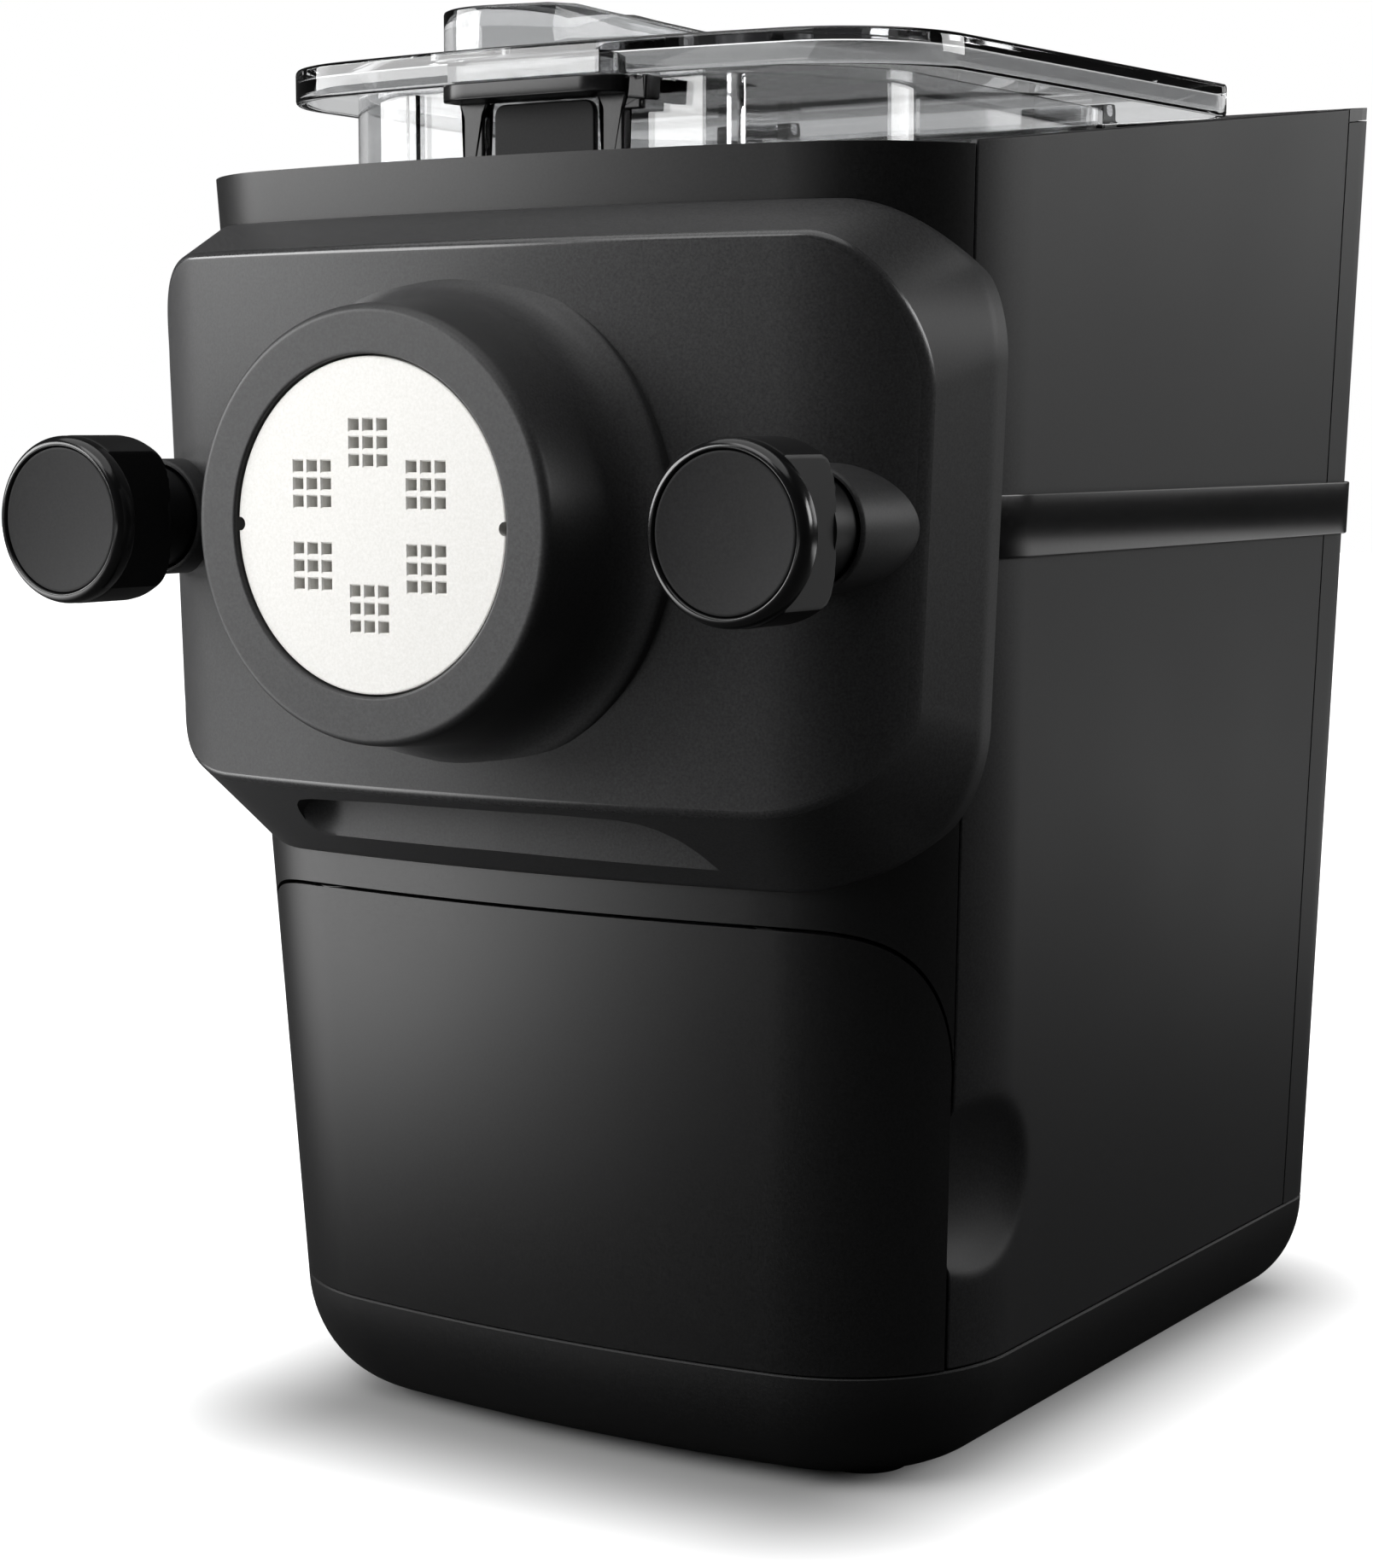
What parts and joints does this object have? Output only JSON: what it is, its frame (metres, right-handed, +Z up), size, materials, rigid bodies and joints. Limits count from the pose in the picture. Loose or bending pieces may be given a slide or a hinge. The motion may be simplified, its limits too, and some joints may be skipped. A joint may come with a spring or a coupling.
{
  "type": "electric pasta maker",
  "caption": "Countertop pasta maker that mixes dough in a clear lidded chamber and presses it through a round disc, with two clamping knobs and a drawer below.",
  "frame": {"origin": "centre of the bounding box's underside, on the surface the feet stand on", "axes": "+Z up; -Y towards the user, out of the shaping disc; +X to the user's right when facing the front"},
  "size_m": [0.2486, 0.35, 0.388],
  "materials": {
    "charcoal_plastic": "satin charcoal ABS with a fine moulded grain",
    "base_black": "matt black ABS",
    "inner_plastic": "plain moulded plastic, not seen in use",
    "gloss_black": "high-gloss black",
    "button_plastic": "smooth, slightly lighter than the panel round it",
    "display_plastic": "smoked clear window",
    "smoke_clear": "clear food-grade plastic with a smoke tint",
    "rubber_black": "matt rubber",
    "silicone_grey": "soft silicone",
    "aluminium": "machined",
    "steel": "plain steel",
    "brass": "sintered bearing metal",
    "white_plastic": "warm white, food-grade, satin",
    "gear_plastic": "natural acetal",
    "circuit_board": "green lacquered board",
    "knob_black": "matt black",
    "tube_grey": "dark grey, food-grade"
  },
  "bodies": {
    "frame": {"base_tray": "base_black", "rubber_feet": "rubber_black", "load_cells": "aluminium", "housing_screws": "steel", "chassis": "inner_plastic", "drawer_runners": "inner_plastic", "front_housing": "charcoal_plastic", "side_panel_left": "charcoal_plastic", "side_panel_right": "charcoal_plastic", "rear_cover": "charcoal_plastic", "cord_gland": "rubber_black", "trim_band": "gloss_black", "top_deck": "charcoal_plastic", "control_panel": "gloss_black", "display_window": "display_plastic", "control_board": "circuit_board", "mixing_chamber": "smoke_clear", "chamber_seal": "silicone_grey", "extrusion_tube": "tube_grey", "knob_studs": "steel", "hinge_pins": "steel", "lid_catch": "gloss_black", "lid_switch": "gloss_black", "gearbox_case": "inner_plastic", "gear_axle": "steel", "bearings": "brass", "motor": "steel", "power_board": "circuit_board"},
    "drawer": {"storage_drawer": "charcoal_plastic"},
    "panel": {"front_panel": "charcoal_plastic", "barrel_collar": "knob_black", "shaping_disc": "white_plastic"},
    "left_knob": {"knob_left": "knob_black", "knob_left_rim": "gloss_black", "knob_left_cap": "knob_black"},
    "right_knob": {"knob_right": "knob_black", "knob_right_rim": "gloss_black", "knob_right_cap": "knob_black"},
    "lid_assembly": {"lid": "smoke_clear", "water_inlet": "smoke_clear", "lid_tab": "gloss_black"},
    "drive": {"mixing_paddle": "tube_grey", "extrusion_screw": "white_plastic", "drive_shaft": "steel", "output_gear": "gear_plastic"},
    "middle_gear": {"intermediate_gear": "gear_plastic"},
    "motor_rotor": {"motor_pinion": "steel", "cooling_fan": "inner_plastic"},
    "power_key": {"button_power": "button_plastic"},
    "program_key": {"button_program": "button_plastic"},
    "weight_key": {"button_weight": "button_plastic"},
    "start_key": {"button_start": "button_plastic"}
  },
  "joints": [
    {"name": "drawer_slide", "type": "slide", "parent": "frame", "child": "drawer", "axis": [0, -1, 0], "range_m": [0, 0.13]},
    {"name": "panel_pull_off", "type": "slide", "parent": "frame", "child": "panel", "axis": [0, -1, 0], "range_m": [0, 0.065]},
    {"name": "left_knob_turn", "type": "hinge", "parent": "panel", "child": "left_knob", "pos_m": [-0.1007, -0.15, 0.251], "axis": [0, -1, 0], "range_deg": [0, 720]},
    {"name": "right_knob_turn", "type": "hinge", "parent": "panel", "child": "right_knob", "pos_m": [0.1007, -0.15, 0.251], "axis": [0, -1, 0], "range_deg": [0, 720]},
    {"name": "lid_hinge", "type": "hinge", "parent": "frame", "child": "lid_assembly", "pos_m": [0, 0.094, 0.369], "axis": [-1, 0, 0], "range_deg": [0, 95]},
    {"name": "drive_turn", "type": "hinge", "parent": "frame", "child": "drive", "pos_m": [0, 0, 0.251], "axis": [0, 1, 0], "continuous": true},
    {"name": "middle_gear_turn", "type": "hinge", "parent": "frame", "child": "middle_gear", "pos_m": [-0.03778, 0.1, 0.22267], "axis": [0, 1, 0], "continuous": true},
    {"name": "motor_turn", "type": "hinge", "parent": "frame", "child": "motor_rotor", "pos_m": [-0.04547, 0.1, 0.18499], "axis": [0, 1, 0], "continuous": true},
    {"name": "power_press", "type": "slide", "parent": "frame", "child": "power_key", "axis": [0, 0.1113, -0.9938], "range_m": [0, 0.0008], "stiffness_N_per_m": 1200, "springref_m": -0.0012},
    {"name": "program_press", "type": "slide", "parent": "frame", "child": "program_key", "axis": [0, 0.1113, -0.9938], "range_m": [0, 0.0008], "stiffness_N_per_m": 1200, "springref_m": -0.0012},
    {"name": "weight_press", "type": "slide", "parent": "frame", "child": "weight_key", "axis": [0, 0.1113, -0.9938], "range_m": [0, 0.0008], "stiffness_N_per_m": 1200, "springref_m": -0.0012},
    {"name": "start_press", "type": "slide", "parent": "frame", "child": "start_key", "axis": [0, 0.1113, -0.9938], "range_m": [0, 0.0008], "stiffness_N_per_m": 1200, "springref_m": -0.0012}
  ],
  "couplings": [
    {"joint": "middle_gear_turn", "follows": "drive_turn", "ratio": -4.1538},
    {"joint": "motor_turn", "follows": "drive_turn", "ratio": 14.538}
  ]
}
